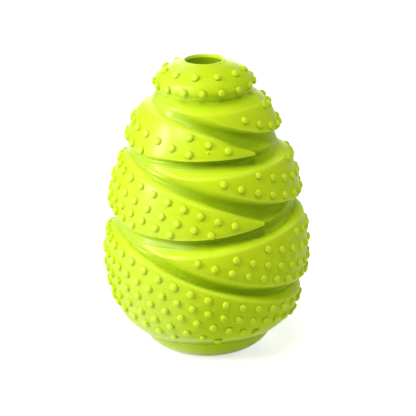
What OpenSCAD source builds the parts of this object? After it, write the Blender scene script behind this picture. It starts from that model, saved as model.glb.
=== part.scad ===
// Hollow rubber treat toy: an egg wound with six bands, with channels between them and rows of nubs.
// Millimetres, +Z up, origin at the centre of the rest face, the front of the toy faces -Y.
// Places round the toy are angles from the front, positive to the right (+X).

/* [Body] */
// Height from the rest face to the top of the lip
toy_h = 115; // [95:1:135]
// Largest radius over the bands, without the nubs
body_r = 39; // [34:0.5:46]
// Thickness of the rubber between the treat chamber and the channel floors
wall_t = 8; // [6:0.5:10]

/* [Channels] */
// Usual width of a channel from ridge to ridge
channel_w = 6.4; // [5.6:0.1:7.2]
// Depth of a channel below the bands
channel_depth = 3.6; // [2.4:0.1:4.4]
// Height of a band's face where its tip begins
tip_face_h = 1.4; // [1:0.1:3]
// Length over which a left band's blunt tip falls
tip_len = 1.6; // [1:0.1:3]
// Height of the crest left where a band's two ridges have met
crest_h = 0.5; // [0.3:0.1:1]
// Length of the rounding at the end of a band's tail
tail_round_len = 1.5; // [1:0.1:3]

/* [Crown] */
// Height of the crown and its lip above the neck
crown_h = 10.8; // [9:0.1:13]
// How far the crown reaches out over the neck
crown_overhang = 1.7; // [1:0.1:3]
// Height of the neck's flare above the neck band
neck_flare_h = 4.6; // [3:0.1:6]
// Radius of the hole through the crown
hole_r = 7; // [5:0.1:8.5]
// Width of the lip round the hole
lip_w = 1.6; // [1.2:0.1:2.4]
// Height of the lip, seat included
lip_h = 2; // [1.4:0.1:3]
// How far the lip stands above the dome
lip_stand_h = 0.2; // [0.1:0.1:0.8]

/* [Foot] */
// Height of the foot below the bands
foot_h = 8.2; // [6:0.1:11]
// Height of the lowest band's underside above the foot
foot_side_h = 2.65; // [1.8:0.05:3.4]
// Radius of the flat rest face
rest_r = 14.6; // [12:0.1:16]
// How far the foot's edge lies inside the core above it
foot_inset = 0.5; // [0.2:0.1:1.5]
// Radius of the mouth through the foot
mouth_r = 9; // [7:0.1:10.5]
// Rounding of the mouth's edge
mouth_round = 1; // [0.5:0.1:1.5]

/* [Nubs] */
// Diameter of a nub at its foot
nub_d = 2.9; // [2:0.1:3.6]
// Height of a nub
nub_h = 1.25; // [0.6:0.05:1.8]

/* [Fit] */
// Clearance between a band and the core it is seated on
seat_gap = 0.2; // [0.15:0.05:0.4]
// How much wider the core's passages are than the hole and the mouth
passage_relief = 0.6; // [0.3:0.1:1]

/* [Hidden] */
rubber = "#c6e52b";
round_fn = 96;
nub_fn = 24;

// The bands lie between the foot and the neck. Heights on them are shares of this zone.
zone_h = toy_h - foot_h - crown_h;
neck_z = foot_h + zone_h;
function zone_z(share) = foot_h + share * zone_h;

// Egg that the bands' faces lie on: a superellipse above the widest place, an ellipse below it
widest_share = 0.3366;
widest_z = zone_z(widest_share);
egg_top_share = 1.062;
egg_bottom_share = 1.181;
egg_top_power = 1.8;
egg_top_h = (toy_h - widest_z) * egg_top_share;
egg_bottom_h = widest_z * egg_bottom_share;
function egg_r(z) = z > widest_z
    ? body_r * pow(1 - pow((z - widest_z) / egg_top_h, egg_top_power), 1 / egg_top_power)
    : body_r * sqrt(1 - pow((widest_z - z) / egg_bottom_h, 2));

// The core's outside is the floor of every channel
function core_r(z) = egg_r(z) - channel_depth;

// Channels from the top: the centre line's height at the front, its rise to the right and its bow, as
// shares of the zone, and the same three of the width, as shares of the usual width. Lines depend
// on the sine of the angle, so front and back match.
neck_channel_shares = [0.9033, -0.0864, -0.0161, 0.968, 0.060, 0];
upper_channel_shares = [0.7495, 0.0060, 0.0046, 1.020, -0.038, -0.250];
middle_channel_shares = [0.6412, -0.1199, 0.0046, 1.145, 0.075, -0.237];
lower_channel_shares = [0.4466, 0.0322, 0.0378, 1.047, -0.045, 0];
base_channel_shares = [0.2994, -0.1434, 0.0307, 1.040, 0.170, -0.080];

function line_z(line, s) = zone_z(line[0] + line[1] * s + line[2] * s * s);
function line_w(line, s) = channel_w * (line[3] + line[4] * s + line[5] * s * s);
function ridge_above(line, s) = line_z(line, s) + line_w(line, s) / 2;
function ridge_below(line, s) = line_z(line, s) - line_w(line, s) / 2;

// A level line that bounds a band at the neck or at the foot, so that its ridge lies at height z
function level_line(z, up) = [(z + up * channel_w / 2 - foot_h) / zone_h, 0, 0, 1, 0, 0];
neck_line = level_line(neck_z - neck_flare_h, 1);
foot_line = level_line(foot_h + foot_side_h, -1);

// Stations along a band's edge, from left to right: sine of the angle, width of the side and how far
// its ridge lies inside the face, as shares of the channel's width, then the side's bend (1 keeps
// the ridge crisp, 2 rounds it) and its run (1 ends in a crease, more runs out along the floor)
left_top_shares =
    [[-1, 1.50, 1.36, 2.6, 1], [-0.92, 0.88, 0.74, 2.5, 1], [-0.8, 0.44, 0.30, 2.4, 1],
     [-0.6, 0.27, 0.14, 2.2, 1], [-0.3, 0.20, 0.05, 2, 1], [0, 0.22, 0.03, 1.6, 1.2],
     [0.2, 0.20, 0.12, 1.3, 1.3], [0.5, 0.18, 0.20, 1.1, 1.4], [0.7, 0.18, 0.25, 1, 1.4]];
upper_top_shares =
    [[-1, 1.10, 0.96, 2.5, 1], [-0.92, 0.66, 0.52, 2.4, 1], [-0.8, 0.38, 0.24, 2.3, 1],
     [-0.6, 0.27, 0.14, 2.2, 1], [-0.3, 0.20, 0.05, 2, 1], [0, 0.22, 0.04, 1.6, 1.2],
     [0.2, 0.20, 0.15, 1.3, 1.3], [0.45, 0.18, 0.30, 1.1, 1.4], [0.7, 0.18, 0.34, 1, 1.4]];
base_top_shares =
    [[-1, 1.80, 1.66, 2.6, 1], [-0.92, 1.05, 0.91, 2.5, 1], [-0.8, 0.48, 0.34, 2.4, 1],
     [-0.6, 0.27, 0.14, 2.2, 1], [-0.3, 0.20, 0.05, 2, 1], [0, 0.22, 0.02, 1.6, 1.2],
     [0.4, 0.34, 0, 1.3, 1.4], [0.75, 0.55, 0.02, 1.6, 1.2], [1, 0.78, 0.08, 2, 1]];
left_bottom_shares =
    [[-1, 1.60, 1.30, 2.6, 1], [-0.88, 0.90, 0.66, 2.2, 1], [-0.7, 0.42, 0.18, 1.6, 1.3],
     [-0.3, 0.25, 0.02, 1.1, 1.6], [0.4, 0.22, 0, 1, 1.6]];
right_top_shares =
    [[-0.5, 0.70, 0, 1, 1.6], [0, 0.70, 0, 1, 1.6], [0.3, 0.62, 0, 1, 1.5],
     [0.55, 0.42, 0, 1, 1.4], [0.8, 0.26, 0, 1, 1.2], [0.9, 0.32, 0.04, 1.2, 1.2],
     [1, 0.86, 0.12, 1.5, 1.2]];
right_bottom_shares =
    [[-0.5, 0.74, 0, 1, 1.6], [0, 0.74, 0, 1, 1.6], [0.4, 0.60, 0, 1, 1.6],
     [0.75, 0.40, 0, 1, 1.6], [1, 0.26, 0, 1, 1.6]];
neck_top_shares = [[-1, 0.95, 0, 1, 1.6], [0.5, 0.95, 0, 1, 1.6], [1, 1.30, 0.35, 1.5, 1.2]];
foot_bottom_shares = [[-1, 2.60, 1.62, 1.4, 1], [1, 2.60, 1.62, 1.4, 1]];

// A band is [side, line above, line below, top edge, bottom edge, steps up its face].
// side is -1 for a band that is widest on the left and 1 for one that is widest on the right.
low_face_steps = 4;
tall_face_steps = 8;
neck_band_lines =
    [1, neck_line, neck_channel_shares, neck_top_shares, right_bottom_shares, low_face_steps];
upper_left_lines =
    [-1, neck_channel_shares, upper_channel_shares, upper_top_shares, left_bottom_shares,
     low_face_steps];
middle_right_lines =
    [1, upper_channel_shares, middle_channel_shares, right_top_shares, right_bottom_shares,
     low_face_steps];
middle_left_lines =
    [-1, middle_channel_shares, lower_channel_shares, left_top_shares, left_bottom_shares,
     low_face_steps];
lower_right_lines =
    [1, lower_channel_shares, base_channel_shares, right_top_shares, right_bottom_shares,
     low_face_steps];
lower_left_lines =
    [-1, base_channel_shares, foot_line, base_top_shares, foot_bottom_shares, tall_face_steps];

// Edge of a band where the sine is s, as [height of the ridge, width, bend, run, up or down]
function room(line, s) =
    line == neck_line ? neck_flare_h : line == foot_line ? foot_side_h : line_w(line, s);
function station(edge, s, column) = lookup(s, [for (row = edge) [row[0], row[column]]]);
function edge_at(line, edge, s, up) =
    let (ridge = up > 0 ? ridge_below(line, s) : ridge_above(line, s))
    [ridge - up * station(edge, s, 2) * room(line, s), station(edge, s, 1) * room(line, s),
     station(edge, s, 3), station(edge, s, 4), up];
function top_edge(band, s) = edge_at(band[1], band[3], s, 1);
function bottom_edge(band, s) = edge_at(band[2], band[4], s, -1);

// Height of a side at x of its width from the ridge, as a share: 1 at the ridge and 0 at the floor
function side_share(edge, x) = pow(1 - pow(max(0, min(1, x)), edge[2]), edge[3]);
function side_x(edge, z) = edge[4] * (z - edge[0]) / edge[1];

// Height of a band at its middle: 1 on a face, and less where its ridges have met
function crest_share(band, s) =
    let (top = top_edge(band, s),
         bottom = bottom_edge(band, s),
         high = max(top[0], (top[0] + bottom[0] + crest_h) / 2),
         low = min(bottom[0], (top[0] + bottom[0] - crest_h) / 2))
    min(side_share(top, side_x(top, high)), side_share(bottom, side_x(bottom, low)));

// Height of a band's surface at a place on its face or sides
function surface_share(band, s, z) =
    let (top = top_edge(band, s), bottom = bottom_edge(band, s))
    min(side_share(top, side_x(top, z)), side_share(bottom, side_x(bottom, z)));
function band_r(z, share) = core_r(z) + seat_gap + share * (channel_depth - seat_gap);

// Places up a band's side, from its edge to its ridge, as shares
side_stations = [0, 0.14, 0.4, 0.72];
// The wall on the core stops short of the band's edges by this share
inner_edge_share = 0.03;

// Section of a band where the sine is s, as [radius, height] pairs; tip shrinks it towards its middle
// and rise lowers it
function section(band, s, tip, rise) =
    let (top = top_edge(band, s),
         bottom = bottom_edge(band, s),
         high = max(top[0], (top[0] + bottom[0] + crest_h) / 2),
         low = min(bottom[0], (top[0] + bottom[0] - crest_h) / 2),
         high_end = top[0] + top[1],
         low_end = bottom[0] - bottom[1],
         middle = (high_end + low_end) / 2,
         crest = crest_share(band, s),
         steps = band[5],
         outer = concat(
             [for (u = side_stations)
                 let (z = low_end + u * (low - low_end))
                 [z, min(crest, side_share(bottom, side_x(bottom, z)))]],
             [for (i = [0:steps]) [low + i / steps * (high - low), crest]],
             [for (i = [len(side_stations) - 1:-1:0])
                 let (z = high_end - side_stations[i] * (high_end - high))
                 [z, min(crest, side_share(top, side_x(top, z)))]]),
         edge = inner_edge_share * (high_end - low_end),
         inner = [for (i = [steps:-1:0])
             [low_end + edge + i / steps * (high_end - low_end - 2 * edge), 0]])
    [for (p = concat(outer, inner))
        let (z = middle + (p[0] - middle) * tip)
        [band_r(z, p[1] * tip * rise), z]];

// Angle from a band's widest place, in steps, at which its crest gets as low as a share
search_step = 1;
search_end = 176;
function face_h(band, a) =
    let (s = band[0] * cos(a))
    ridge_below(band[1], s) - ridge_above(band[2], s);
function tip_angle(band) =
    [for (a = [0:search_step:search_end]) if (face_h(band, a) < tip_face_h) a][0];
low_crest_share = 0.12;
function tail_angle(band) =
    concat([for (a = [tip_angle(band):search_step:search_end])
        if (crest_share(band, band[0] * cos(a)) * left_rise(band, a) < low_crest_share) a],
        [search_end])[0];

// A left band falls at its tip to a low rib, and a right band only tapers
rib_share = 0.34;
function smooth(t) = t * t * (3 - 2 * t);
function arc_len(a) = a * PI / 180 * body_r;
function left_rise(band, a) = band[0] > 0
    ? 1
    : 1 - (1 - rib_share) * smooth(max(0, min(1, 1 + arc_len(a - tip_angle(band)) / tip_len)));

band_steps = 15;
tail_steps = 8;
ring_steps = 48;
// Places along a left band's blunt tip, and along the rounding at a tail's end, as shares
tip_stations = [0, 0.3, 0.7, 1];
end_stations = [0.45, 0.8, 0.94];
function end_share(u) = sqrt(1 - u * u);

// Point on a band at the angle a from its widest place
function band_point(band, a, p) = [band[0] * p[0] * cos(a), -p[0] * sin(a), p[1]];

// Solid through a list of rings, each of n points; the last ring joins the first if it is closed
module swept(rings, closed) {
    n = len(rings[0]);
    count = len(rings);
    function at(i, j) = (i % count) * n + j % n;
    sides = [for (i = [0:count - (closed ? 1 : 2)], j = [0:n - 1], half = [0, 1])
        half == 0
            ? [at(i, j), at(i, j + 1), at(i + 1, j)]
            : [at(i, j + 1), at(i + 1, j + 1), at(i + 1, j)]];
    ends = closed ? [] : [
        [for (j = [n - 1:-1:0]) at(0, j)],
        [for (j = [0:n - 1]) at(count - 1, j)]];
    polyhedron([for (ring = rings, p = ring) p], concat(sides, ends), convexity = 8);
}

// Band that tapers away at each end, or goes all the way round if its crest stays high enough
module crescent(band) {
    if (tail_angle(band) >= search_end)
        full_band(band);
    else
        tapered_band(band);
}

module tapered_band(band) {
    tip_a = tip_angle(band);
    tail_a = tail_angle(band);
    tip_back_a = tip_len / body_r * 180 / PI;
    end_a = tail_round_len / body_r * 180 / PI;
    half = concat(
        [for (i = [1:band_steps]) [(tip_a - tip_back_a) * i / band_steps, 1]],
        [for (i = [1:len(tip_stations) - 1]) [tip_a - tip_back_a * (1 - tip_stations[i]), 1]],
        [for (i = [1:tail_steps]) [tip_a + (tail_a - tip_a) * i / tail_steps, 1]],
        [for (u = end_stations) [tail_a + end_a * u, end_share(u)]]);
    angles = concat(
        [for (i = [len(half) - 1:-1:0]) [-half[i][0], half[i][1]]],
        [[0, 1]],
        half);
    rings = [for (t = angles)
        [for (p = section(band, band[0] * cos(t[0]), t[1], left_rise(band, abs(t[0]))))
            band_point(band, t[0], p)]];
    // The rings are run the same way round the axis on both sides
    swept(band[0] < 0 ? rings : [for (i = [len(rings) - 1:-1:0]) rings[i]], false);
}

// Band that goes all the way round
module full_band(band) {
    swept([for (i = [0:ring_steps - 1])
        let (a = 360 * i / ring_steps)
        [for (p = section(band, band[0] * cos(a), 1, 1)) band_point(band, a, p)]], true);
}

// Nub standing on the plane z = 0: the cap of a ball
nub_ball_r = (pow(nub_d / 2, 2) + nub_h * nub_h) / (2 * nub_h);
module nub() {
    intersection() {
        translate([0, 0, nub_h - nub_ball_r])
            sphere(r = nub_ball_r, $fn = nub_fn);
        translate([-nub_d, -nub_d, 0])
            cube([2 * nub_d, 2 * nub_d, 2 * nub_h]);
    }
}

// Nub on a band at the angle a from the front and height z, upright to the band's own slope
slope_step_share = 0.001;
module nub_at(band, a, z) {
    s = sin(a);
    step = toy_h * slope_step_share;
    r = band_r(z, surface_share(band, s, z));
    r_above = band_r(z + step, surface_share(band, s, z + step));
    r_below = band_r(z - step, surface_share(band, s, z - step));
    rotate([0, 0, a])
        translate([0, -r, z])
            rotate([90 - atan2(r_below - r_above, 2 * step), 0, 0])
                nub();
}

// One row of nubs on a band: [height share, rise share, angle of its innermost nub, pitch, most
// nubs], with the band's bow share and the growth of the pitch. It runs from there to the band's own
// side and is mirrored at the back; a nub near the side stands on the side itself, and only once.
side_a = 90;
module nub_row(band, row, bow, growth) {
    for (k = [0:row[4] - 1]) {
        a = row[2] + band[0] * row[3] * k + growth * k * k;
        s = sin(a);
        z = zone_z(row[0] + row[1] * s + bow * s * s);
        past = abs(a) - side_a;
        if (past < -row[3] / 3) {
            nub_at(band, a, z);
            nub_at(band, 180 - a, z);
        } else if (past < row[3] / 3) {
            nub_at(band, sign(a) * side_a, z);
        }
    }
}

module nub_rows(band, rows, bow, growth) {
    color(rubber)
        for (row = rows)
            nub_row(band, row, bow, growth);
}

neck_rows_shares = [[1.0080, -0.1554, 36.2, 13.9, 9], [1.0860, -0.1554, 69, 14, 9]];
upper_left_rows_shares =
    [[0.8469, -0.1057, 17, 14.4, 3], [0.7878, -0.0900, -11.8, 13.2, 9],
     [0.7237, -0.0900, -52.5, 13.5, 9]];
middle_right_rows_shares =
    [[0.7219, -0.1389, 11.7, 11.2, 9], [0.7952, -0.1457, 36.9, 11.3, 9],
     [0.8648, -0.1457, 74.5, 9, 9]];
middle_left_rows_shares =
    [[0.5672, -0.1301, 16.94, 9.94, 20], [0.5040, -0.1262, 2.84, 9.87, 20],
     [0.4483, -0.1254, -21.4, 9.4, 20], [0.4060, -0.1266, -48.4, 9.4, 20]];
lower_right_rows_shares =
    [[0.3738, -0.1409, -5, 9.6, 20], [0.4362, -0.1520, 16.9, 9.7, 20],
     [0.5007, -0.1485, 37.2, 10.2, 20], [0.5600, -0.1450, 63.4, 9.3, 20]];
lower_left_rows_shares =
    [[0.2312, -0.1406, 88.47, 11.89, 20], [0.1706, -0.1310, 82.27, 11.14, 20],
     [0.1117, -0.1208, 34.79, 10.80, 20], [0.0452, -0.1180, 7.31, 10.92, 20],
     [-0.0120, -0.1180, -24.5, 10.1, 20]];
middle_left_bow_share = 0.010;
lower_right_bow_share = 0.014;
lower_left_bow_share = 0.044;
even = 0;
left_growth = -0.065;
right_growth = 0.112;

// Crown: a dome on the neck, highest at the middle of the hole's lip
crown_r = core_r(neck_z) + crown_overhang;
crown_widest_share = 0.21;
crown_widest_z = neck_z + crown_h * crown_widest_share;
crown_power = 1.8;
lip_r = hole_r + lip_w / 2;
// The lip's opening is a little wider than the hole below it
lip_flare_share = 0.2;
lip_flare = lip_w * lip_flare_share;
dome_h = (toy_h - lip_stand_h - crown_widest_z)
    / pow(1 - pow(lip_r / crown_r, crown_power), 1 / crown_power);
crown_under_share = 0.6;
function dome_r(z) = z < crown_widest_z
    ? crown_r - crown_overhang * crown_under_share
        * pow((crown_widest_z - z) / (crown_widest_z - neck_z), 2)
    : crown_r * pow(1 - pow((z - crown_widest_z) / dome_h, crown_power), 1 / crown_power);
function dome_z(r) =
    crown_widest_z + dome_h * pow(1 - pow(r / crown_r, crown_power), 1 / crown_power);

// Foot: a squashed ball cut flat at the rest face
foot_r = core_r(foot_h) - foot_inset;
foot_centre_share = 1.18;
foot_centre_z = foot_h * foot_centre_share;
foot_ball_h = foot_centre_z / sqrt(1 - pow(rest_r / foot_r, 2));
function foot_at(z) = foot_r * sqrt(1 - pow((z - foot_centre_z) / foot_ball_h, 2));

// Core: the channel floors outside, the treat chamber and the two passages inside
module core_shell() {
    outside_steps = 24;
    chamber_stations = [0, 0.06, 0.16, 0.3, 0.45, 0.6, 0.75, 0.88, 1];
    chamber_low = foot_h + wall_t;
    chamber_high = neck_z - wall_t;
    color(rubber)
        rotate_extrude($fn = round_fn)
            polygon(concat(
                [[mouth_r + passage_relief, foot_h]],
                [for (i = [0:outside_steps])
                    let (z = foot_h + zone_h * i / outside_steps)
                    [core_r(z), z]],
                [[hole_r + passage_relief, neck_z], [hole_r + passage_relief, neck_z - wall_t / 2]],
                [for (i = [len(chamber_stations) - 1:-1:0])
                    let (z = chamber_low + (chamber_high - chamber_low) * chamber_stations[i])
                    [core_r(z) - wall_t, z]],
                [[mouth_r + passage_relief, foot_h + wall_t / 2]]));
}

// Foot: smooth outside, flat rest face, and the mouth with a rounded edge
module base_foot() {
    outside_steps = 8;
    edge_steps = 4;
    color(rubber)
        rotate_extrude($fn = round_fn)
            polygon(concat(
                [for (i = [0:edge_steps])
                    let (a = 90 * i / edge_steps)
                    [mouth_r + mouth_round * (1 - cos(a)), mouth_round * (1 - sin(a))]],
                [for (i = [0:outside_steps])
                    let (z = foot_h * i / outside_steps)
                    [foot_at(z), z]],
                [[mouth_r, foot_h]]));
}

// Crown: dome with the hole and the seat for the lip
module crown_cap() {
    dome_stations = [0, 0.11, 0.22, 0.4, 0.58, 0.74, 0.86, 0.94];
    seat_r = hole_r + lip_w;
    seat_z = toy_h - lip_h;
    dome_top = dome_z(seat_r);
    color(rubber)
        rotate_extrude($fn = round_fn)
            polygon(concat(
                [[hole_r, neck_z], [core_r(neck_z), neck_z]],
                [for (u = dome_stations)
                    let (z = neck_z + (dome_top - neck_z) * u)
                    [dome_r(z), z]],
                [[seat_r, dome_top], [seat_r, seat_z], [hole_r, seat_z]]));
}

// Lip: a ring in the crown's seat, rounded over its top
module hole_lip() {
    lip_round = lip_w / 2;
    lip_steps = 6;
    color(rubber)
        rotate_extrude($fn = round_fn)
            polygon(concat(
                [[hole_r + lip_flare, toy_h - lip_h], [hole_r + lip_w, toy_h - lip_h]],
                [for (i = [0:lip_steps])
                    let (a = 180 * i / lip_steps)
                    [lip_r + lip_flare / 2 + (lip_round - lip_flare / 2) * cos(a),
                     toy_h - lip_round * (1 - sin(a))]]));
}

module neck_band() {
    color(rubber) crescent(neck_band_lines);
}

module upper_left_band() {
    color(rubber) crescent(upper_left_lines);
}

module middle_right_band() {
    color(rubber) crescent(middle_right_lines);
}

module middle_left_band() {
    color(rubber) crescent(middle_left_lines);
}

module lower_right_band() {
    color(rubber) crescent(lower_right_lines);
}

module lower_left_band() {
    color(rubber) full_band(lower_left_lines);
}

// Two rings of nubs on the crown, each [height, count, angle of its first nub, pitch]; the upper
// one leaves the rear right bare
upper_ring_share = 0.81;
module crown_nubs() {
    rings = [[crown_widest_z, 16, -2, 22.5], [dome_z(crown_r * upper_ring_share), 10, 82, -31.5]];
    for (ring = rings)
        for (i = [0:ring[1] - 1])
            crown_nub(ring[2] + ring[3] * i, ring[0]);
}

module crown_nub(a, z) {
    step = crown_h * slope_step_share;
    lift = atan2(dome_r(z) - dome_r(z + step), step);
    color(rubber)
        rotate([0, 0, a])
            translate([0, -dome_r(z), z])
                rotate([90 - lift, 0, 0])
                    nub();
}

module neck_nubs() {
    nub_rows(neck_band_lines, neck_rows_shares, 0, even);
}

module upper_left_nubs() {
    nub_rows(upper_left_lines, upper_left_rows_shares, 0, even);
}

module middle_right_nubs() {
    nub_rows(middle_right_lines, middle_right_rows_shares, 0, even);
}

module middle_left_nubs() {
    nub_rows(middle_left_lines, middle_left_rows_shares, middle_left_bow_share, left_growth);
}

module lower_right_nubs() {
    nub_rows(lower_right_lines, lower_right_rows_shares, lower_right_bow_share, even);
}

module lower_left_nubs() {
    nub_rows(lower_left_lines, lower_left_rows_shares, lower_left_bow_share, right_growth);
}

core_shell();
base_foot();
crown_cap();
hole_lip();
neck_band();
upper_left_band();
middle_right_band();
middle_left_band();
lower_right_band();
lower_left_band();
crown_nubs();
neck_nubs();
upper_left_nubs();
middle_right_nubs();
middle_left_nubs();
lower_right_nubs();
lower_left_nubs();
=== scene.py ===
import math

import bpy
import numpy as np
from mathutils import Matrix, Vector


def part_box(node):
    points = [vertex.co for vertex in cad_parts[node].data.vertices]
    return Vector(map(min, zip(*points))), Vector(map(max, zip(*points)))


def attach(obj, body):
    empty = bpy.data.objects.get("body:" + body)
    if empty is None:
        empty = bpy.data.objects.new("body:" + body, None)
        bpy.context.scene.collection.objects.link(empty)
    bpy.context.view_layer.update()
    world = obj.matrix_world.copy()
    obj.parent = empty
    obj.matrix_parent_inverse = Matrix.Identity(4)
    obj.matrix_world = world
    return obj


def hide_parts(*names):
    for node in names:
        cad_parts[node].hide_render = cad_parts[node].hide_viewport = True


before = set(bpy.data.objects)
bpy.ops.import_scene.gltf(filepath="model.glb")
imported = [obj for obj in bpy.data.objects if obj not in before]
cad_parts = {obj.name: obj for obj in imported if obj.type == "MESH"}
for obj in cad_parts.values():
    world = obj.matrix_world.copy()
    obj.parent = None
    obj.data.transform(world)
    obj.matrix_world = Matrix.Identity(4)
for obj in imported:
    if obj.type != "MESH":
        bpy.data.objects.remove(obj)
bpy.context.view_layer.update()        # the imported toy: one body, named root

millimetre = 0.001

# The toy stands on z = 0 and its front faces -Y. Angles run from the front, positive to the right.
# Channels and bands depend only on the sine of the angle, so their back mirrors their front, and the
# crown's nubs go on round it. Shapes are worked out in millimetres.


def nodeHeights(node):
    # lowest and highest z of a node of the frame, in millimetres
    low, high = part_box(node)
    return low.z / millimetre, high.z / millimetre


def smoothStep(x, low, high):
    # 3 t squared - 2 t cubed, where t runs from 0 at low to 1 at high
    t = np.clip((x - low) / (high - low), 0, 1)
    return t * t * (3 - 2 * t)


def mixed(low, high, t):
    # straight from low at t = 0 to high at t = 1
    return low + (high - low) * t


def softMinimum(a, b, k):
    # the lesser of two heights, rounded over k where they meet
    return np.minimum(a, b) - np.maximum(k - np.abs(a - b), 0) ** 2 / (4 * k)


def fullTurn(steps):
    # angles of so many even steps round the toy, as a column
    return np.linspace(0, 2 * math.pi, steps, endpoint=False)[:, None]


def onToy(angle, radius, z):
    # points at an angle from the front, a radius from the axis and a height
    angle, radius, z = np.broadcast_arrays(angle, radius, z)
    return np.stack([radius * np.sin(angle), -radius * np.cos(angle), z], -1)


# The egg that the bands follow, cut off at the crown and the foot, and the floors inside it
body = {
    "radius": 39.0,             # largest radius over the bands
    "channelDepth": 3.6,
    "channelWidth": 6.4,        # from ridge to ridge
    "wall": 8.0,                # rubber between the chamber and the channels
    "widestShare": 0.3366,      # height of the widest place, as a share of foot to neck
    "eggTopShare": 1.062,       # the egg would reach this much further up than the toy does,
    "eggBottomShare": 1.181,    # and this much further down
    "eggTopPower": 1.8,
    "neckFlare": 4.6,           # height of the neck above the neck band
    "footSide": 2.65,           # height of the lowest band's underside
    "shallowRise": 1.1,         # how far the floor comes up where the channels run shallow
    "shallowSines": (-1.0, -0.3), "shallowLean": 0.8,
}
footZ, neckZ = nodeHeights("core_shell")
toyTop = nodeHeights("hole_lip")[1]
zoneHeight = neckZ - footZ
widestZ = footZ + body["widestShare"] * zoneHeight
eggTopHeight = (toyTop - widestZ) * body["eggTopShare"]
eggBottomHeight = widestZ * body["eggBottomShare"]


def eggRadius(z):
    # superellipse above the widest place, ellipse below it
    power = body["eggTopPower"]
    up = np.clip((z - widestZ) / eggTopHeight, 0, 1)
    down = np.clip((widestZ - z) / eggBottomHeight, 0, 1)
    return body["radius"] * np.where(z > widestZ, (1 - up ** power) ** (1 / power),
                                     np.sqrt(1 - down ** 2))


def floorRadius(z):
    # the channel floors lie one channel depth inside the egg
    return eggRadius(z) - body["channelDepth"]


def shallows(s):
    # the floor's rise where the channels run shallow, left of the front: a bell over the sine
    low, high = body["shallowSines"]
    t = np.clip((np.asarray(s, float) - low) / (high - low), 0, 1)
    return body["shallowRise"] * np.sin(math.pi * t ** body["shallowLean"]) ** 2


# Channels from the top: their centre line's height at the front, rise to the right and bow, as
# shares of the zone, and the same three of their width, as shares of the usual width
halfShare = body["channelWidth"] / 2 / zoneHeight
channels = {
    "neckLine": ((neckZ - body["neckFlare"] - footZ) / zoneHeight + halfShare, 0, 0, 1, 0, 0),
    "neck": (0.9033, -0.0864, -0.0161, 0.968, 0.06, 0),
    "upper": (0.7495, 0.0060, 0.0046, 1.020, -0.038, -0.25),
    "middle": (0.6412, -0.1199, 0.0046, 1.145, 0.075, -0.237),
    "lower": (0.4466, 0.0322, 0.0378, 1.047, -0.045, 0),
    "base": (0.2994, -0.1434, 0.0307, 1.040, 0.17, -0.08),
    "footLine": (body["footSide"] / zoneHeight - halfShare, 0, 0, 1, 0, 0),
}


def channelZ(name, s):
    # height of a centre line where the sine of the angle is s
    line = channels[name]
    return footZ + zoneHeight * (line[0] + line[1] * s + line[2] * s * s)


def channelWidth(name, s):
    # distance between a channel's two ridges where the sine of the angle is s
    line = channels[name]
    return body["channelWidth"] * (line[3] + line[4] * s + line[5] * s * s)


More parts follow.
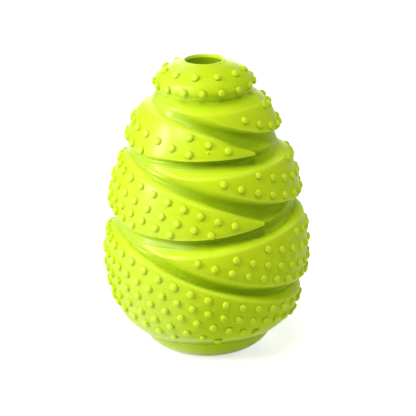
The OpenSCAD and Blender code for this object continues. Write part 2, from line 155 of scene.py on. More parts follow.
# An edge has stations from left to right: sine of the angle, width of the side, how far its ridge
# lies inside the face, bend (1 keeps the ridge crisp, 2 rounds it), run (1 ends in a crease, 2 runs
# out along the floor) and softness of the ridge. The first two are shares of the channel's width.
# Each channel is deepest beside its steeper side.
edges = {
    "leftTop": [(-1.0, 1.6, 1.45, 2.6, 1.0, 0.3), (-0.92, 0.9, 0.76, 2.5, 1.0, 0.3),
                (-0.8, 0.42, 0.32, 2.4, 1.0, 0.3), (-0.6, 0.24, 0.17, 2.2, 1.0, 0.3),
                (-0.3, 0.16, 0.07, 2.0, 1.0, 0.3), (0.0, 0.20, 0.04, 1.6, 1.3, 0.3),
                (0.2, 0.18, 0.12, 1.3, 1.4, 0.2), (0.5, 0.16, 0.20, 1.1, 1.5, 0.1),
                (0.7, 0.16, 0.25, 1.0, 1.6, 0.1)],
    "upperTop": [(-1.0, 1.1, 0.96, 2.5, 1.0, 0.3), (-0.92, 0.66, 0.52, 2.4, 1.0, 0.3),
                 (-0.8, 0.36, 0.26, 2.3, 1.0, 0.3), (-0.6, 0.24, 0.17, 2.2, 1.0, 0.3),
                 (-0.3, 0.16, 0.07, 2.0, 1.0, 0.3), (0.0, 0.20, 0.05, 1.6, 1.3, 0.3),
                 (0.2, 0.18, 0.13, 1.3, 1.4, 0.2), (0.45, 0.16, 0.25, 1.1, 1.5, 0.1),
                 (0.7, 0.16, 0.30, 1.0, 1.6, 0.1)],
    "baseTop": [(-1.0, 1.8, 1.66, 2.6, 1.0, 0.3), (-0.92, 1.05, 0.91, 2.5, 1.0, 0.3),
                (-0.8, 0.47, 0.37, 2.4, 1.0, 0.3), (-0.6, 0.24, 0.17, 2.2, 1.0, 0.3),
                (-0.3, 0.16, 0.07, 2.0, 1.0, 0.3), (0.0, 0.2, 0.03, 1.6, 1.3, 0.3),
                (0.4, 0.34, 0.0, 1.3, 1.5, 0.3), (0.75, 0.55, 0.02, 1.6, 1.2, 0.3),
                (1.0, 0.78, 0.08, 2.0, 1.0, 0.3)],
    "leftBottom": [(-1.0, 1.7, 1.35, 2.6, 1.0, 0.1), (-0.88, 0.95, 0.67, 2.2, 1.1, 0.2),
                   (-0.7, 0.42, 0.16, 1.6, 1.5, 0.2), (-0.3, 0.27, 0.0, 1.1, 1.8, 0.1),
                   (0.4, 0.22, 0.0, 1.0, 2.0, 0.06)],
    "rightTop": [(-0.5, 0.90, 0.0, 1.0, 2.0, 0.10), (0.0, 0.78, 0.0, 1.0, 2.0, 0.06),
                 (0.3, 0.66, 0.0, 1.0, 1.8, 0.06), (0.55, 0.42, 0.0, 1.0, 1.5, 0.06),
                 (0.8, 0.24, 0.0, 1.0, 1.2, 0.08), (0.9, 0.30, 0.04, 1.2, 1.2, 0.10),
                 (1.0, 0.86, 0.12, 1.5, 1.2, 0.3)],
    "rightBottom": [(-0.5, 0.82, 0.0, 1.0, 2.0, 0.6), (0.0, 0.75, 0.0, 1.0, 2.0, 0.3),
                    (0.4, 0.62, 0.0, 1.0, 2.0, 0.1), (0.75, 0.36, 0.0, 1.0, 2.0, 0.06),
                    (1.0, 0.2, 0.0, 1.0, 2.0, 0.06)],
    "neckTop": [(0.5, 0.69, 0.0, 1.0, 2.0, 0.5), (1.0, 0.94, 0.25, 1.5, 1.2, 0.4)],
    "footBottom": [(0.0, 1.08, 0.67, 1.4, 1.0, 0.3)],
}
# Each band's side of the toy, its channels and edges, the points across its face, and for a band
# that ends in a tip how far the tip is drawn back, in millimetres
bands = {
    "neck_band": {"side": 1, "above": "neckLine", "below": "neck",
                  "top": "neckTop", "bottom": "rightBottom", "faceRows": 14},
    "upper_left_band": {"side": -1, "above": "neck", "below": "upper",
                        "top": "upperTop", "bottom": "leftBottom", "faceRows": 20, "tipBack": 2.2},
    "middle_right_band": {"side": 1, "above": "upper", "below": "middle",
                          "top": "rightTop", "bottom": "rightBottom", "faceRows": 20},
    "middle_left_band": {"side": -1, "above": "middle", "below": "lower",
                         "top": "leftTop", "bottom": "leftBottom", "faceRows": 26, "tipBack": 0.0},
    "lower_right_band": {"side": 1, "above": "lower", "below": "base",
                         "top": "rightTop", "bottom": "rightBottom", "faceRows": 24},
    "lower_left_band": {"side": -1, "above": "base", "below": "footLine",
                        "top": "baseTop", "bottom": "footBottom", "faceRows": 34},
}
bandShape = {
    "tipFace": 1.4,             # width of a left band's face where it ends
    "tipLength": 2.2, "tipPast": 0.2,       # where its blunt tip falls, before and past its end
    "tailShare": 0.34,          # height of the low rib that goes on behind the tip
    "tailEnd": 0.02,            # height at which a rib has died away
    "leastHalf": 0.5,           # half the face's width, where the ridges have come together
    "faceDrop": 0.12, "faceDropPower": 3,   # fall of a face towards its edges
    "gentleRuns": (1.0, 1.3),   # sides of these runs and more are gentle enough for the core
    "seam": 0.08,               # height at which a band gives way to the core
    "dive": 0.12,               # how far a band's edge runs down into the core
    "sink": 3.0, "sunkMost": 0.12,          # how fast and how far the core sinks under a band
    "backing": 0.9,             # a band's thickness below the channel floor
    "ledge": 0.2,               # how far the lowest band's lower end stands off the floor
    "sideRows": 13, "sideSpread": 0.75,     # points across a side, closer together at its ridge
    "backingStep": 3,           # the backing has one point for so many on the outside
    "ringSteps": 480,
}


def edgeValues(band, edge, s):
    # width, shift, bend, run and softness of a band's top or bottom edge where the sine is s
    across = channelWidth(band["above" if edge == "top" else "below"], s)
    stations = np.array(edges[band[edge]]).T
    width, shift, bend, run, soft = (np.interp(s, stations[0], column) for column in stations[1:])
    return width * across, shift * across, bend, run, soft


def sideFall(d, width, bend, run):
    # 1 at the ridge and 0 at the floor: (1 - x to the bend) to the run, and straight on up inside
    # the face
    x = np.clip(d / width, 0, 1)
    return np.where(d < 0, 1 - run * np.maximum(2 - bend, 0) * d / width, (1 - x ** bend) ** run)


def roundedBy(bend, softness):
    # softness that is left to add: a bend of 2 rounds the ridge by itself
    return np.maximum(softness * (2 - bend), 1e-3)


def bandRidges(band, s):
    # heights of a band's upper and lower ridge, without their shifts into the face
    return (channelZ(band["above"], s) - channelWidth(band["above"], s) / 2,
            channelZ(band["below"], s) + channelWidth(band["below"], s) / 2)


def tipSine(band):
    # sine of the angle, from the band's own side on, where its face gets as narrow as a tip
    s = band["side"] * np.linspace(1, -1, 4001)
    top, bottom = bandRidges(band, s)
    return float(s[np.argmax(top - bottom < bandShape["tipFace"])])


def edgeRun(band, s, z):
    # the run of the side that a place is nearer to
    topRun, lowRun = edgeValues(band, "top", s)[3], edgeValues(band, "bottom", s)[3]
    top, bottom = bandRidges(band, s)
    return np.where(z > (top + bottom) / 2, topRun, lowRun)


def bandHeight(band, s, z):
    # The face is 1, each side falls to 0, and the least of the three holds, rounded at the ridges.
    # Where the two ridges cross, the same rule leaves a rib that dies away.
    top, bottom = bandRidges(band, s)
    topWidth, topShift, topBend, topRun, topSoft = edgeValues(band, "top", s)
    lowWidth, lowShift, lowBend, lowRun, lowSoft = edgeValues(band, "bottom", s)
    middle = (top + bottom) / 2
    half = np.maximum((top - bottom) / 2, bandShape["leastHalf"])
    outOfMiddle = np.clip(np.abs(z - middle) / half, 0, 1)
    face = 1 - bandShape["faceDrop"] * outOfMiddle ** bandShape["faceDropPower"]
    upperSide = sideFall(z - top + topShift, topWidth, topBend, topRun)
    lowerSide = sideFall(bottom + lowShift - z, lowWidth, lowBend, lowRun)
    h = softMinimum(face, upperSide, roundedBy(topBend, topSoft))
    h = softMinimum(h, lowerSide, roundedBy(lowBend, lowSoft))
    if "tipBack" in band:
        turned = np.arcsin(np.clip(s, -1, 1)) - math.asin(tipSine(band))
        past = turned * eggRadius(z) + band["tipBack"]
        fallen = smoothStep(past, -bandShape["tipLength"], bandShape["tipPast"])
        h = h * mixed(1, bandShape["tailShare"], fallen)
    return np.maximum(h, 0)


# Thin crests that run along the channels beside the bands' tips, and low ribs behind the tips: each
# one's height at the front, rise to the right and bow as shares of the zone, the sines where it
# starts and ends, then how far it stands up and how wide it is
flutes = [
    (0.7399, -0.0529, -0.0659, -0.88, 0.10, 0.62, 0.55),
    (0.5980, -0.2693, -0.1315, -0.90, -0.38, 0.50, 0.50),
    (0.6881, -0.1449, -0.0966, -0.84, -0.05, 0.60, 0.55),
    (0.4350, 0.0, 0.0120, -0.88, -0.10, 0.62, 0.55),
    (0.2968, -0.1321, 0.0360, -0.90, -0.38, 0.50, 0.50),
    (0.3786, -0.0865, 0.0, -0.80, -0.24, 0.60, 0.55),
    (0.9402, -0.0475, -0.0089, -0.75, 0.35, 0.25, 0.60),
    (0.9057, -1.1486, 0.8461, 0.60, 1.00, 1.30, 0.80),
    (0.8973, -1.2106, 0.8578, 0.60, 1.00, 0.80, 0.60),
    (0.8860, -0.2481, 0.1569, 0.42, 1.00, 1.10, 0.80),
]
fluteFade = {"in": 0.25, "out": 0.65, "under": (0.1, 0.3)}      # along a flute, and under a band


def fluteRelief(s, z):
    # millimetres added to the surface: a bell across each crest that fades in and out along it
    relief = np.zeros(np.broadcast(s, z).shape)
    for front, rise, bow, start, end, height, width in flutes:
        middle = footZ + zoneHeight * (front + rise * s + bow * s * s)
        fadeIn = smoothStep(s, start, mixed(start, end, fluteFade["in"]))
        fadeOut = 1 - smoothStep(s, mixed(start, end, fluteFade["out"]), end)
        relief = relief + height * fadeIn * fadeOut * np.exp(-((z - middle) / width) ** 2)
    return relief


def surfaceRadius(s, z, h, rise):
    # floor + depth x rise, and the shallows and the flutes as far as the place is low
    return (floorRadius(z) + body["channelDepth"] * rise + shallows(s) * (1 - np.clip(h, 0, 1))
            + fluteRelief(s, z) * (1 - smoothStep(h, *fluteFade["under"])))


def coreRise(h):
    # the core follows the surface up to the seam, then sinks away under the band
    over = np.maximum(h - bandShape["seam"], 0)
    return np.maximum(h - bandShape["sink"] * over ** 2, -bandShape["sunkMost"])


def bandRise(h):
    # a band follows the surface down to the seam, then dives into the core
    under = np.maximum(bandShape["seam"] - h, 0) / bandShape["seam"]
    return h - bandShape["dive"] * under ** 2


def allHeights(s, z):
    # the highest band at each place, and the same of the gentle sides only, which the core follows;
    # a steep side ends in a crease where it meets the core
    heights = np.array([bandHeight(band, s, z) for band in bands.values()])
    gentle = np.array([smoothStep(edgeRun(band, s, z), *bandShape["gentleRuns"])
                       for band in bands.values()])
    return heights.max(axis=0), (heights * gentle).max(axis=0)


sharpAngle = 55                 # degrees between two faces past which their edge stays crisp


def gridFaces(rows, columns, closed=True):
    # quads between the points of a grid: each row is a ring, and closed joins the last row to the
    # first
    i = np.arange(rows if closed else rows - 1)[:, None]
    j = np.arange(columns)[None, :]
    nextI, nextJ = (i + 1) % rows, (j + 1) % columns
    quads = np.stack([i * columns + j, nextI * columns + j,
                      nextI * columns + nextJ, i * columns + nextJ], -1)
    return quads.reshape(-1, 4).tolist()


def outward(points, faces):
    # turns every face round if the closed shell's volume, the sum of a . (b x c) over its
    # triangles, comes out negative
    corners = np.array([(f[0], f[k], f[k + 1]) for f in faces for k in range(1, len(f) - 1)])
    a, b, c = (points[corners[:, k]] for k in range(3))
    volume = np.einsum("ij,ij->i", a, np.cross(b, c)).sum()
    return faces if volume > 0 else [f[::-1] for f in faces]


def addObject(name, data):
    # an object of this data, in the scene
    item = bpy.data.objects.new(name, data)
    bpy.context.scene.collection.objects.link(item)
    return item


def makePiece(name, points, faces, material, attributes, replaced):
    # points in millimetres; the piece rides the toy's one body and stands for its CAD nodes
    mesh = bpy.data.meshes.new(name)
    mesh.from_pydata((points * millimetre).tolist(), [], outward(points, faces))
    for key, values in attributes.items():
        isVector = values.ndim == 2
        layer = mesh.attributes.new(key, "FLOAT_VECTOR" if isVector else "FLOAT", "POINT")
        layer.data.foreach_set("vector" if isVector else "value", values.astype(np.float32).ravel())
    mesh.polygons.foreach_set("use_smooth", [True] * len(mesh.polygons))
    mesh.set_sharp_from_angle(angle=math.radians(sharpAngle))
    mesh.materials.append(material)
    piece = addObject(name, mesh)
    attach(piece, "root")
    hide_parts(*replaced)
    print(f"{name}: {len(mesh.vertices)} points, {len(mesh.polygons)} faces")
    return piece


# Where the rubber's tones lie, most of them painted shade and painted highlight. A pair is where a
# change starts and where it ends.
tones = {
    "duskLeast": 0.25, "duskLeft": (-0.75, 0.1),        # painted shade in the channels: least share, and sines
    "duskLoss": 0.6, "duskRight": (0.6, 0.98),
    "shineRise": (-0.98, -0.75), "shineFall": (-0.50, 0.05),    # sines
    "ridgeWidth": 0.5,          # half the width of a ridge's pale line, a painted highlight, in millimetres
    "channel": (0, 0.6),        # shares of a band's height over which the painted shade fades out
    "nubFoot": (-0.06, 0.45),   # shares of a nub's height over which the painted shade at its foot fades out
}


def dusk(s):
    # how much of the channels' painted shade shows: less at the left, where they run shallow, and at
    # the far right
    return (mixed(tones["duskLeast"], 1, smoothStep(s, *tones["duskLeft"]))
            * (1 - tones["duskLoss"] * smoothStep(s, *tones["duskRight"])))


def surfaceAttributes(points, across, ridge, depth):
    # flow is slow round the toy and fast across the bands; ridge, depth and shine are masks from 0 to
    # 1: ridge carries the painted highlight, depth the painted shade, and shine is the glossier skin
    # left of the front
    across, ridge, depth = (np.broadcast_to(values, points.shape[:-1]).ravel()
                            for values in (across, ridge, depth))
    flow = points.reshape(-1, 3).copy()
    flow[:, 2] = across
    sine = flow[:, 0] / np.hypot(flow[:, 0], flow[:, 1])
    shine = smoothStep(sine, *tones["shineRise"]) * (1 - smoothStep(sine, *tones["shineFall"]))
    return {"flow": flow, "ridge": ridge, "depth": depth, "shine": shine}


# The finish that the whole toy shares; pale is the colour of the painted highlight, deep that of the
# painted shade and of the random clouds
rubber = {
    "colour": (0.600, 0.800, 0.012, 1),
    "pale": (0.780, 0.940, 0.060, 1),
    "deep": (0.200, 0.340, 0.001, 1),
    "roughnessDrift": (-0.05, 0.07),
    "specular": 0.05,
    "coatRoughness": 0.30,
}


def newGroup(name, inputs, outputs):
    # a node group with named sockets, its input node and its output node
    group = bpy.data.node_groups.new(name, "ShaderNodeTree")
    for label, kind, value in inputs:
        socket = group.interface.new_socket(label, in_out="INPUT", socket_type="NodeSocket" + kind)
        if value is not None:
            socket.default_value = value
    for label, kind in outputs:
        group.interface.new_socket(label, in_out="OUTPUT", socket_type="NodeSocket" + kind)
    start, end = group.nodes.new("NodeGroupInput"), group.nodes.new("NodeGroupOutput")
    return group, start.outputs, end.inputs


def addNode(tree, kind, settings=None, values=None, links=None):
    # a node with its settings, the values of its sockets and what feeds them
    node = tree.nodes.new(kind)
    for key, value in (settings or {}).items():
        setattr(node, key, value)
    for key, value in (values or {}).items():
        node.inputs[key].default_value = value
    for key, source in (links or {}).items():
        tree.links.new(source, node.inputs[key])
    return node


def emptyTree(owner):
    # the node tree of a material or world, with nothing in it
    owner.use_nodes = True
    owner.node_tree.nodes.clear()
    return owner.node_tree


def addMath(tree, operation, *sources):
    # what a Math node makes of the sockets that feed it
    return addNode(tree, "ShaderNodeMath", {"operation": operation}, None,
                   dict(enumerate(sources))).outputs[0]


def mixColour(tree, factor, first, second):
    # socket numbers of a Mix node set to colours: 0 the factor, 6 and 7 the colours, output 2
    return addNode(tree, "ShaderNodeMix", {"data_type": "RGBA"}, None,
                   {0: factor, 6: first, 7: second}).outputs[2]


def makeGrainGroup():
    # fine moulded grain: two noises of unlike scale, added up to a height
    group, start, end = newGroup(
        "mouldGrain",
        [("Vector", "Vector", None), ("Fine", "Float", 2600.0), ("Coarse", "Float", 420.0),
         ("Fine Share", "Float", 0.35)],
        [("Height", "Float")])
    fine = addNode(group, "ShaderNodeTexNoise", None, {"Detail": 3.0, "Roughness": 0.6},
                   {"Vector": start["Vector"], "Scale": start["Fine"]})
    coarse = addNode(group, "ShaderNodeTexNoise", None, {"Detail": 2.0},
                     {"Vector": start["Vector"], "Scale": start["Coarse"]})
    total = addMath(group, "MULTIPLY_ADD", fine.outputs["Fac"], start["Fine Share"],
                    coarse.outputs["Fac"])
    group.links.new(total, end["Height"])
    return group


def makeStreakGroup():
    # streaks along the bands: noise on the flow, packed close across it and stretched along it
    group, start, end = newGroup(
        "mouldStreaks",
        [("Flow", "Vector", None), ("Across", "Float", 2.0), ("Along", "Float", 0.05)],
        [("Height", "Float")])
    stretch = addNode(group, "ShaderNodeCombineXYZ", None, None,
                      {0: start["Along"], 1: start["Along"], 2: start["Across"]})
    scaled = addNode(group, "ShaderNodeVectorMath", {"operation": "MULTIPLY"}, None,
                     {0: start["Flow"], 1: stretch.outputs[0]})
    noise = addNode(group, "ShaderNodeTexNoise", None,
                    {"Scale": 1.0, "Detail": 3.0, "Roughness": 0.55}, {"Vector": scaled.outputs[0]})
    group.links.new(noise.outputs["Fac"], end["Height"])
    return group


def makeColourGroup():
    # the rubber's colour: slow clouds of a deeper tone at random, painted shade deeper in the channels,
    # and a painted highlight paler on the ridges
    group, start, end = newGroup(
        "rubberColour",
        [("Vector", "Vector", None), ("Ridge", "Float", 0.0), ("Depth", "Float", 0.0),
         ("Colour", "Color", None), ("Pale", "Color", None), ("Deep", "Color", None),
         ("Cloud Share", "Float", 0.12), ("Depth Share", "Float", 0.15), ("Ridge Share", "Float", 0.5)],
        [("Colour", "Color"), ("Cloud", "Float")])
    cloud = addNode(group, "ShaderNodeTexNoise", None,
                    {"Scale": 70.0, "Detail": 5.0, "Roughness": 0.6}, {"Vector": start["Vector"]})
    spread = addNode(group, "ShaderNodeMapRange", None, {"From Min": 0.35, "From Max": 0.68},
                     {"Value": cloud.outputs["Fac"], "To Max": start["Cloud Share"]})
    # the painted shade of the channels, by the depth mask, added to the slow clouds of tone
    sunk = addMath(group, "MULTIPLY_ADD", start["Depth"], start["Depth Share"],
                   spread.outputs["Result"])
    # a painted highlight on the ridges and the nub caps
    paintedHighlight = addMath(group, "MULTIPLY", start["Ridge"], start["Ridge Share"])
    shadedAndClouded = mixColour(group, sunk, start["Colour"], start["Deep"])
    group.links.new(mixColour(group, paintedHighlight, shadedAndClouded, start["Pale"]), end["Colour"])
    group.links.new(cloud.outputs["Fac"], end["Cloud"])
    return group


grainGroup, streakGroup, colourGroup = makeGrainGroup(), makeStreakGroup(), makeColourGroup()


def makeRubber(name, look):
    # satin rubber: painted shade by depth and a painted highlight on ridges in its colour, with a
    # roughness that drifts, a coat where the skin is glossier and two layers of bump
    material = bpy.data.materials.new(name)
    tree = emptyTree(material)
    place = addNode(tree, "ShaderNodeTexCoord").outputs["Object"]
    flow, ridge, depth, shine = (addNode(tree, "ShaderNodeAttribute", {"attribute_name": key})
                                 for key in ("flow", "ridge", "depth", "shine"))
    coat = addNode(tree, "ShaderNodeMath", {"operation": "MULTIPLY"}, {1: look["coat"]},
                   {0: shine.outputs["Fac"]})
    colour = addNode(tree, "ShaderNodeGroup", {"node_tree": colourGroup},
                     {"Colour": rubber["colour"], "Pale": rubber["pale"], "Deep": rubber["deep"],
                      "Cloud Share": look["cloud"], "Depth Share": look["depth"],
                      "Ridge Share": look["ridge"]},
                     {"Vector": place, "Ridge": ridge.outputs["Fac"], "Depth": depth.outputs["Fac"]})
    grain = addNode(tree, "ShaderNodeGroup", {"node_tree": grainGroup},
                    {"Fine": look["fineScale"], "Coarse": look["coarseScale"]}, {"Vector": place})
    streaks = addNode(tree, "ShaderNodeGroup", {"node_tree": streakGroup},
                      {"Across": look["across"], "Along": look["along"]},
                      {"Flow": flow.outputs["Vector"]})
    grainBump = addNode(tree, "ShaderNodeBump", None,
                        {"Strength": look["grainStrength"], "Distance": look["grainDepth"]},
                        {"Height": grain.outputs["Height"]})
    streakBump = addNode(tree, "ShaderNodeBump", None,
                         {"Strength": look["streakStrength"], "Distance": look["streakDepth"]},
                         {"Height": streaks.outputs["Height"], "Normal": grainBump.outputs["Normal"]})
    smoother, rougher = (look["roughness"] + drift for drift in rubber["roughnessDrift"])
    rough = addNode(tree, "ShaderNodeMapRange", None,
                    {"From Min": 0.3, "From Max": 0.7, "To Min": smoother, "To Max": rougher},
                    {"Value": colour.outputs["Cloud"]})
    shader = addNode(tree, "ShaderNodeBsdfPrincipled", None,
                     {"Specular IOR Level": rubber["specular"],
                      "Coat Roughness": rubber["coatRoughness"]},
                     {"Coat Weight": coat.outputs[0], "Base Color": colour.outputs["Colour"],
                      "Roughness": rough.outputs["Result"], "Normal": streakBump.outputs["Normal"]})
    addNode(tree, "ShaderNodeOutputMaterial", None, None, {"Surface": shader.outputs["BSDF"]})
    return material


# depth is the share of painted shade, ridge the share of painted highlight
bandLook = {
    "cloud": 0.06, "depth": 0.75, "ridge": 0.65, "roughness": 0.37, "coat": 0.7,
    "fineScale": 2600.0, "coarseScale": 520.0, "grainStrength": 0.30, "grainDepth": 0.00012,
    "across": 1.2, "along": 0.05, "streakStrength": 0.40, "streakDepth": 0.00025,
}
channelLook = dict(bandLook, roughness=0.33, across=1.1, streakStrength=0.9, grainStrength=0.2)
crownLook = dict(bandLook, roughness=0.34, across=0.9, streakStrength=0.35)
nubLook = dict(bandLook, roughness=0.36, depth=0.95, ridge=0.50, streakStrength=0.0)
bandRubber = makeRubber("bandRubber", bandLook)
channelRubber = makeRubber("channelRubber", channelLook)
crownRubber = makeRubber("crownRubber", crownLook)
nubRubber = makeRubber("nubRubber", nubLook)
print("rubber materials are ready")


core = {
    "around": 384,
    "outsideRows": 230,
    "insideRows": 22,
    "passageRelief": 0.6,       # how much wider the passages are than the hole and the mouth
    "endBlend": 2.0,            # height over which both ends turn into a plain ring
    "holeRadius": 7.0,
    "mouthRadius": 9.0,
}


def buildCore():
    # A closed sheet: up the channel floors on the outside, then down through the treat chamber.
    # The outside is floor + depth x rise + flutes, and the inside is turned round the axis.
    angle = fullTurn(core["around"])
    s = np.sin(angle)
    z = np.linspace(footZ, neckZ, core["outsideRows"])[None, :]
    h, followed = allHeights(s, z)
    radius = surfaceRadius(s, z, h, coreRise(followed))
    ends = np.minimum(z - footZ, neckZ - z) / core["endBlend"]
    radius = mixed(floorRadius(z), radius, smoothStep(ends, 0, 1))
    outside = onToy(angle, radius, z)

    wall = body["wall"]
    relief = core["passageRelief"]
    hole, mouth = core["holeRadius"] + relief, core["mouthRadius"] + relief
    chamberZ = np.linspace(neckZ - wall, footZ + wall, core["insideRows"])
    turned = np.array([(hole, neckZ), (hole, neckZ - wall / 2)]
                      + [(floorRadius(high) - wall, high) for high in chamberZ]
                      + [(mouth, footZ + wall / 2), (mouth, footZ)])
    inside = onToy(angle, turned[None, :, 0], turned[None, :, 1])
    points = np.concatenate([outside, inside], axis=1)
    rows, columns = points.shape[:2]
    # painted shade: darker down into the channels, and all through the chamber and its passages
    depth = dusk(s) * (1 - smoothStep(h, *tones["channel"]))
    depth = np.concatenate([depth, np.ones((rows, len(turned)))], axis=1)
    across = np.concatenate([z - channelZ("lower", s), inside[..., 2]], axis=1)
    return makePiece("core_body", points.reshape(-1, 3), gridFaces(rows, columns), channelRubber,
                     surfaceAttributes(points, across, 0.0, depth), ["core_shell"])


buildCore()


def bandSection(band, s):
    # Heights of the points across a band, from its lower end to its upper one: close together
    # round each ridge, and drawn in to the crest where the ridges have crossed
    top, bottom = bandRidges(band, s)
    topWidth, topShift = edgeValues(band, "top", s)[:2]
    lowWidth, lowShift = edgeValues(band, "bottom", s)[:2]
    top, bottom = top - topShift, bottom + lowShift
    middle = (top + bottom) / 2
    high, low = np.maximum(top, middle), np.minimum(bottom, middle)
    side = 1 - np.linspace(0, 1, bandShape["sideRows"]) ** bandShape["sideSpread"]
    face = (1 - np.cos(np.linspace(0, math.pi, band["faceRows"]))) / 2
    lowEnd, highEnd = bottom - lowWidth, top + topWidth
    return np.concatenate([low - side[None, :-1] * (low - np.minimum(lowEnd, low)),
                           low + face[None, :] * (high - low),
                           high + side[::-1][None, 1:] * (np.maximum(highEnd, high) - high)], axis=1)


def crestHeight(band, s):
    # a band's height half-way between its two ridges
    top, bottom = bandRidges(band, s)
    return bandHeight(band, s, (top + bottom) / 2)


def bandReach(band):
    # angle from a band's widest place at which its rib has died away
    a = np.linspace(0, math.pi, 2000)
    s = band["side"] * np.cos(a)
    gone = np.nonzero(crestHeight(band, s) < bandShape["tailEnd"])[0]
    return a[gone[0]] if len(gone) else math.pi


def ridgeLine(band, edge, s, z):
    # a bell across a band's top or bottom ridge, strong where the ridge is crisp: the mask of the
    # painted highlight line
    top, bottom = bandRidges(band, s)
    bend, soft = edgeValues(band, edge, s)[2], edgeValues(band, edge, s)[4]
    past = (z - (top if edge == "top" else bottom)) / tones["ridgeWidth"]
    return (1 - roundedBy(bend, soft)) * np.exp(-past ** 2)


def buildBand(name, band):
    # A strip carried round the toy: floor + depth x rise outside, and a backing below the floor
    whole = band["below"] == "footLine"
    reach = math.pi if whole else bandReach(band)
    steps = bandShape["ringSteps"] if whole else int(bandShape["ringSteps"] * reach / math.pi)
    a = np.linspace(-reach, reach, steps, endpoint=not whole)[:, None]
    s = band["side"] * np.cos(a)
    angle = band["side"] * (math.pi / 2) - a
    z = bandSection(band, s)
    h = bandHeight(band, s, z)
    radius = surfaceRadius(s, z, h, bandRise(h))
    if whole:
        radius[:, 0] = floorRadius(z[:, 0]) + bandShape["ledge"]
    outside = onToy(angle, radius, z)
    back = slice(None, None, -bandShape["backingStep"])
    inZ = z[:, back]
    inRadius = np.minimum(floorRadius(inZ), radius[:, back]) - bandShape["backing"]
    inside = onToy(angle, inRadius, inZ)
    points = np.concatenate([outside, inside], axis=1)
    rows, columns = points.shape[:2]
    faces = gridFaces(rows, columns, whole)
    if not whole:
        faces += [list(range(columns)), list(range((rows - 1) * columns, rows * columns))[::-1]]
    top, bottom = bandRidges(band, s)
    allZ = np.concatenate([z, inZ], axis=1)
    # painted highlight along the crisp ridges
    ridge = np.maximum(ridgeLine(band, "top", s, allZ), ridgeLine(band, "bottom", s, allZ))
    allHeight = np.concatenate([h, np.zeros(inZ.shape)], axis=1)
    # painted shade down the band's sides into the channels
    depth = dusk(s) * (1 - smoothStep(allHeight, *tones["channel"]))
    return makePiece(name.replace("_band", "_wrap"), points.reshape(-1, 3), faces, bandRubber,
                     surfaceAttributes(points, allZ - (top + bottom) / 2, ridge, depth), [name])


for bandName, bandParts in bands.items():
    buildBand(bandName, bandParts)


nub = {
    "radius": 1.58, "height": 1.25,
    "radiusSpread": 0.05, "heightSpread": 0.10,     # how much nubs differ, as shares
    "segments": 12,
    "sunk": 0.45,               # how far a nub's root goes into the band
    # shares of radius and height from the cap down to the flare at the foot
    "profile": [(0.34, 0.965), (0.66, 0.85), (0.88, 0.62), (0.99, 0.28), (1.03, -0.06)],
    "cap": (0.4, 1.0),          # shares of its height over which its cap is painted paler, a painted highlight
    "turnStep": 0.002, "riseStep": 0.05,            # how far apart slopes are measured
}
# Rows of nubs on each band: (height share, rise share, angle of the innermost nub, pitch, most), bow
# and growth of the pitch. A row runs from there to the band's own side.
nubRows = {
    "neck_band": ([(1.0080, -0.1554, 36.2, 13.9, 9), (1.0860, -0.1554, 69, 14, 9)], 0, 0),
    "upper_left_band": ([(0.8469, -0.1057, 17.0, 14.4, 3), (0.7878, -0.0900, -11.8, 13.2, 9),
                         (0.7237, -0.0900, -52.5, 13.5, 9)], 0, 0),
    "middle_right_band": ([(0.7219, -0.1389, 11.7, 11.2, 9), (0.7952, -0.1457, 36.9, 11.3, 9),
                           (0.8648, -0.1457, 74.5, 9, 9)], 0, 0),
    "middle_left_band": ([(0.5672, -0.1301, 16.94, 9.94, 20), (0.5040, -0.1262, 2.84, 9.87, 20),
                          (0.4483, -0.1254, -21.4, 9.4, 20), (0.4060, -0.1266, -48.4, 9.4, 20)],
                         0.010, -0.065),
    "lower_right_band": ([(0.3738, -0.1409, -5, 9.6, 20), (0.4362, -0.1520, 16.9, 9.7, 20),
                          (0.5007, -0.1485, 37.2, 10.2, 20), (0.5600, -0.1450, 63.4, 9.3, 20)],
                         0.014, 0),
    "lower_left_band": ([(0.2312, -0.1406, 88.47, 11.89, 20), (0.1706, -0.1310, 82.27, 11.14, 20),
                         (0.1117, -0.1208, 34.79, 10.80, 20), (0.0452, -0.1180, 7.31, 10.92, 20),
                         (-0.0120, -0.1180, -24.5, 10.1, 20)], 0.044, 0.112),
}
# Specks that the mould left, all but too small to see: angle, height share and size beside a nub
specks = {
    "neck_band": [(59.1, 0.9446, 0.36)],
    "upper_left_band": [(2.1, 0.8137, 0.36), (5.0, 0.8090, 0.22)],
    "middle_right_band": [(37.8, 0.6890, 0.34)],
}


def bandRadius(name):
    # a function that gives the radius of a band's own surface at an angle and a height
    def radiusAt(angle, z):
        h = bandHeight(bands[name], np.sin(angle), z)
        return surfaceRadius(np.sin(angle), z, h, h)
    return radiusAt


def nubPlaces(name):
    # angles, heights and sizes of a band's nubs: rows that rise across the face, mirrored at the
    # back; a nub near the side stands on the side itself, and only once
    rows, bow, growth = nubRows[name]
    found = []
    for height, rise, start, pitch, most in rows:
        k = np.arange(most)
        degrees = start + bands[name]["side"] * pitch * k + growth * k * k
        s = np.sin(np.radians(degrees))
        z = footZ + zoneHeight * (height + rise * s + bow * s * s)
        beyond = np.abs(degrees) - 90
        for turned, high, past in zip(np.radians(degrees), z, beyond):
            if past < -pitch / 3:
                found += [(turned, high, 1.0), (math.pi - turned, high, 1.0)]
            elif past < pitch / 3:
                found.append((math.copysign(math.pi / 2, turned), high, 1.0))
    found += [(math.radians(degrees), footZ + zoneHeight * height, size)
              for degrees, height, size in specks.get(name, [])]
    return np.array(found)


def slopeAt(radiusAt, angle, z, turn, rise):
    # direction of the surface at each place: the way from the point before it to the point after it
    after = onToy(angle + turn, radiusAt(angle + turn, z + rise), z + rise)
    before = onToy(angle - turn, radiusAt(angle - turn, z - rise), z - rise)
    return (after - before) / np.linalg.norm(after - before, axis=1, keepdims=True)


